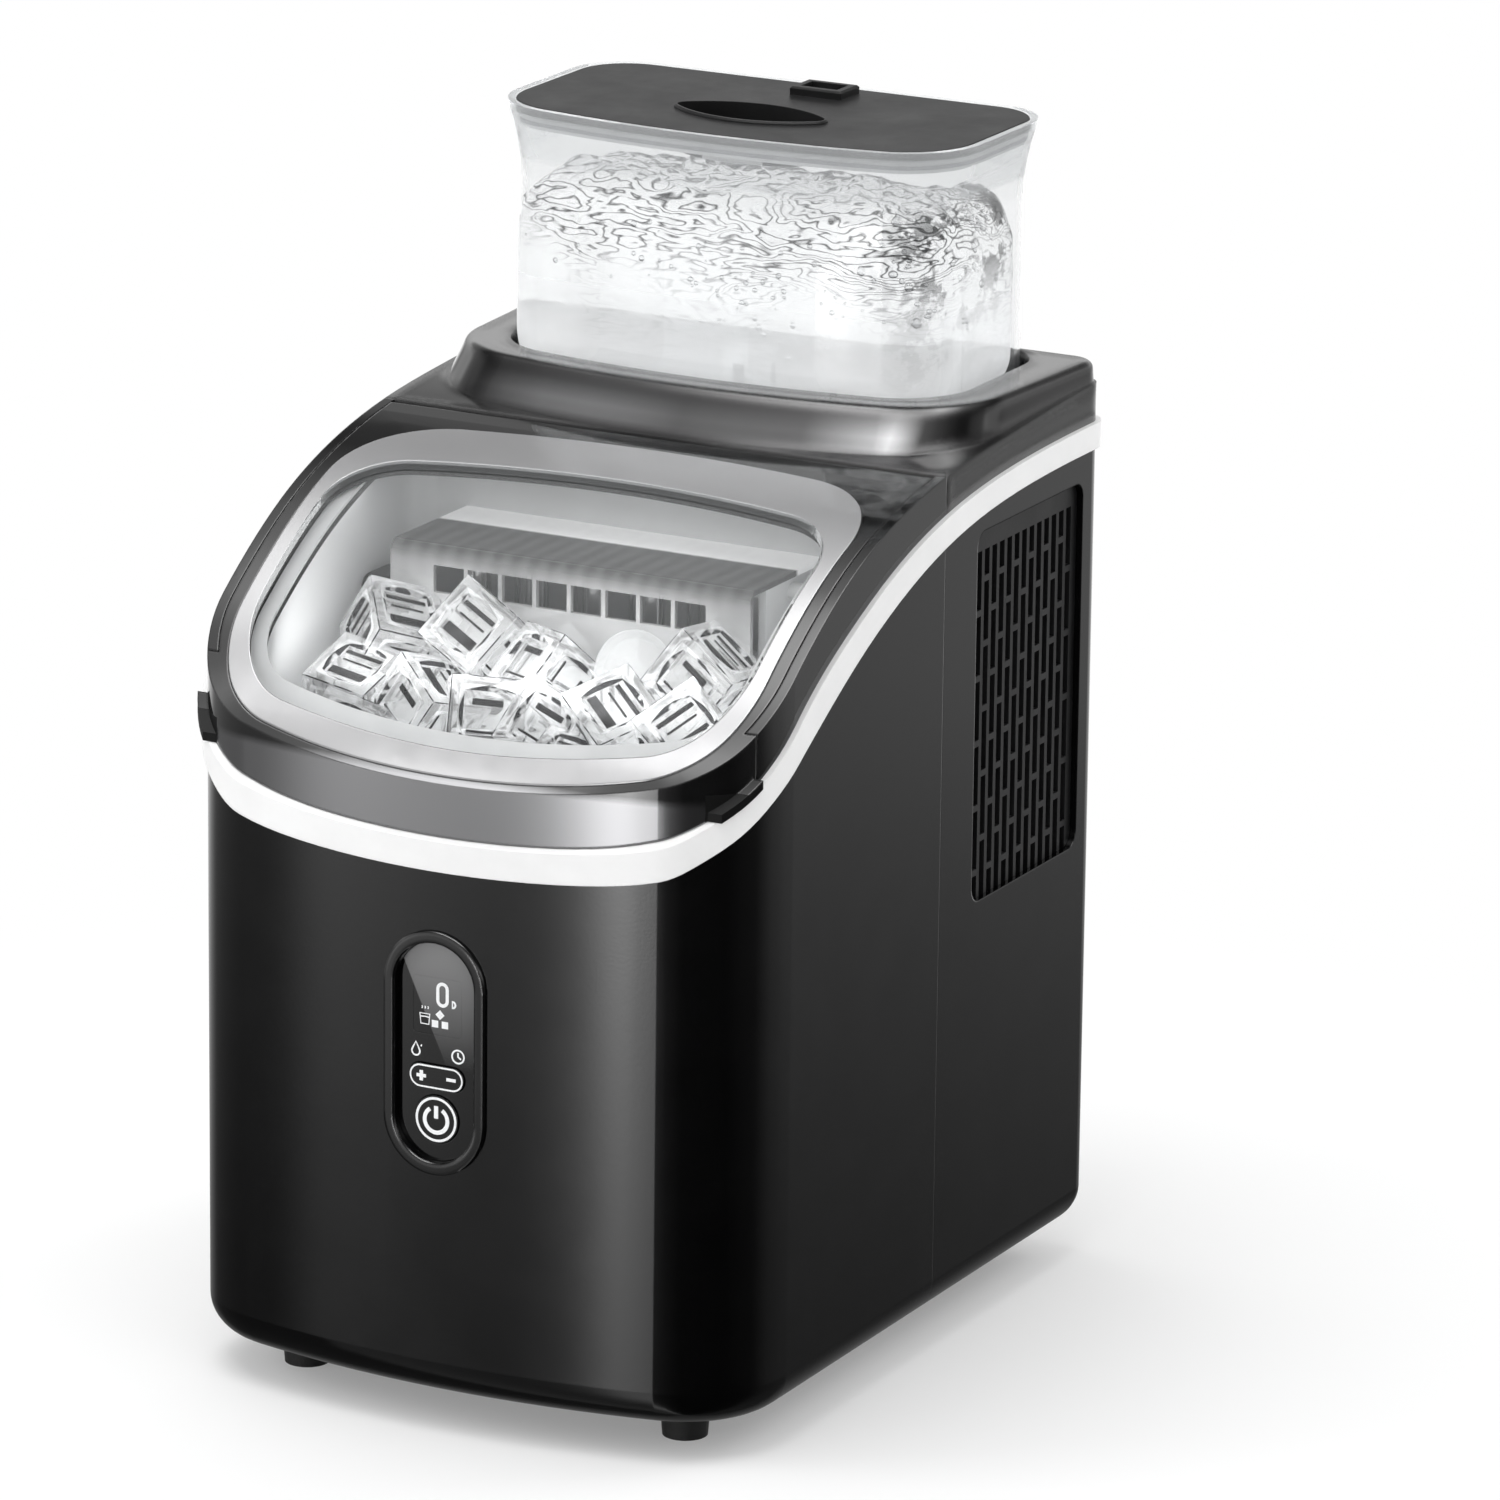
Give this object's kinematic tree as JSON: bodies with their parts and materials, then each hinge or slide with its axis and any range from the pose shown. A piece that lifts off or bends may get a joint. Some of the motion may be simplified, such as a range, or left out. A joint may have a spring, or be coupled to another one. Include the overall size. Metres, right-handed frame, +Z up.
{
  "type": "countertop ice maker",
  "caption": "Countertop ice maker with a sloping windowed lid, lift-out ice basket and lift-off water tank on its rear deck.",
  "frame": {"origin": "on the floor under the middle of the body, at the bottom of the feet", "axes": "+Z up, front with the control panel towards -Y, +X to the right of someone who faces the front"},
  "size_m": [0.234, 0.299, 0.4384],
  "materials": {
    "black_plastic": "matte",
    "body_black": "satin gloss",
    "casing_black": "high gloss",
    "lid_black": "high gloss",
    "panel_black": "high gloss",
    "trim_white": "satin",
    "ring_silver": "satin silver",
    "clear_plastic": "clear",
    "tank_lid_grey": "fine satin",
    "white_plastic": "matte",
    "liner_grey": "satin",
    "grey_rubber": "matte",
    "black_rubber": "matte",
    "hose_rubber": "satin",
    "screw_steel": "plain",
    "circuit_green": "satin",
    "evaporator_metal": "bright nickel",
    "compressor_black": "satin paint",
    "fin_aluminium": "plain",
    "copper": "bright copper"
  },
  "bodies": {
    "casing": {"base_tray": "black_plastic", "feet": "black_rubber", "foot_screws": "screw_steel", "base_screws": "screw_steel", "front_housing": "body_black", "rear_housing": "body_black", "right_grille": "black_plastic", "left_grille": "black_plastic", "trim_band": "trim_white", "front_frame": "casing_black", "bin_seal": "grey_rubber", "rear_deck": "casing_black", "hinge_pins": "screw_steel", "well_seal": "grey_rubber", "control_bezel": "casing_black", "control_face": "panel_black", "display_window": "panel_black", "display_board": "circuit_green", "ice_bin": "liner_grey", "mechanism_bracket": "liner_grey", "evaporator": "evaporator_metal", "ice_chute": "liner_grey", "evaporator_cover": "liner_grey", "tray_motor": "black_plastic", "compressor": "compressor_black", "compressor_grommets": "black_rubber", "condenser": "fin_aluminium", "fan_shroud": "black_plastic", "fan_motor": "compressor_black", "hot_gas_pipe": "copper", "suction_pipe": "copper", "water_pump": "black_plastic", "water_hose": "hose_rubber", "drain_spout": "black_plastic", "drain_hose": "hose_rubber", "cord_gland": "black_rubber", "main_board": "circuit_green"},
    "lid": {"lid_frame": "lid_black", "window_ring": "ring_silver", "lid_window": "clear_plastic", "lid_inner_frame": "lid_black"},
    "basket": {"ice_basket": "liner_grey"},
    "tray": {"water_tray": "white_plastic"},
    "shovel": {"ice_shovel": "white_plastic"},
    "fan": {"fan_rotor": "black_plastic"},
    "tank": {"water_tank": "clear_plastic", "valve_cage": "white_plastic", "valve_spring": "grey_rubber"},
    "tank_cover": {"tank_lid": "tank_lid_grey", "tank_lid_seal": "grey_rubber"},
    "valve": {"tank_valve": "white_plastic"},
    "power_key": {"power_button": "panel_black"},
    "level_key": {"plus_minus_key": "panel_black"},
    "plug": {"drain_plug": "black_rubber"}
  },
  "joints": [
    {"name": "lid_hinge", "type": "hinge", "parent": "casing", "child": "lid", "pos_m": [0, 0.0145, 0.32591], "axis": [-1, 0, 0], "range_deg": [0, 85]},
    {"name": "basket_lift", "type": "slide", "parent": "casing", "child": "basket", "axis": [0, 0, 1], "range_m": [0, 0.012]},
    {"name": "tray_tilt", "type": "hinge", "parent": "casing", "child": "tray", "pos_m": [0, -0.025, 0.262], "axis": [-1, 0, 0], "range_deg": [0, 80]},
    {"name": "shovel_swing", "type": "hinge", "parent": "casing", "child": "shovel", "pos_m": [0, -0.025, 0.262], "axis": [1, 0, 0], "range_deg": [0, 130]},
    {"name": "fan_spin", "type": "hinge", "parent": "casing", "child": "fan", "pos_m": [0.063, 0.087, 0.232], "axis": [1, 0, 0], "continuous": true},
    {"name": "tank_lift", "type": "slide", "parent": "casing", "child": "tank", "axis": [0, 0, 1], "range_m": [0, 0.12]},
    {"name": "tank_cover_lift", "type": "slide", "parent": "tank", "child": "tank_cover", "axis": [0, 0, 1], "range_m": [0, 0.06]},
    {"name": "valve_travel", "type": "slide", "parent": "tank", "child": "valve", "axis": [0, 0, -1], "range_m": [0, 0.003], "stiffness_N_per_m": 60, "springref_m": 0.006, "deforming": ["valve_spring"]},
    {"name": "power_press", "type": "slide", "parent": "casing", "child": "power_key", "axis": [0, 1, 0], "range_m": [0, 0.001], "stiffness_N_per_m": 400},
    {"name": "level_rock", "type": "hinge", "parent": "casing", "child": "level_key", "pos_m": [0, -0.1415, 0.1325], "axis": [0, 0, 1], "range_deg": [-3, 3], "stiffness_Nm_per_rad": 0.3},
    {"name": "plug_pull", "type": "slide", "parent": "casing", "child": "plug", "axis": [0, 1, 0], "range_m": [0, 0.02]}
  ],
  "couplings": [
    {"joint": "shovel_swing", "follows": "tray_tilt", "ratio": 1.625},
    {"joint": "valve_travel", "follows": "tank_lift", "ratio": 0.025}
  ]
}
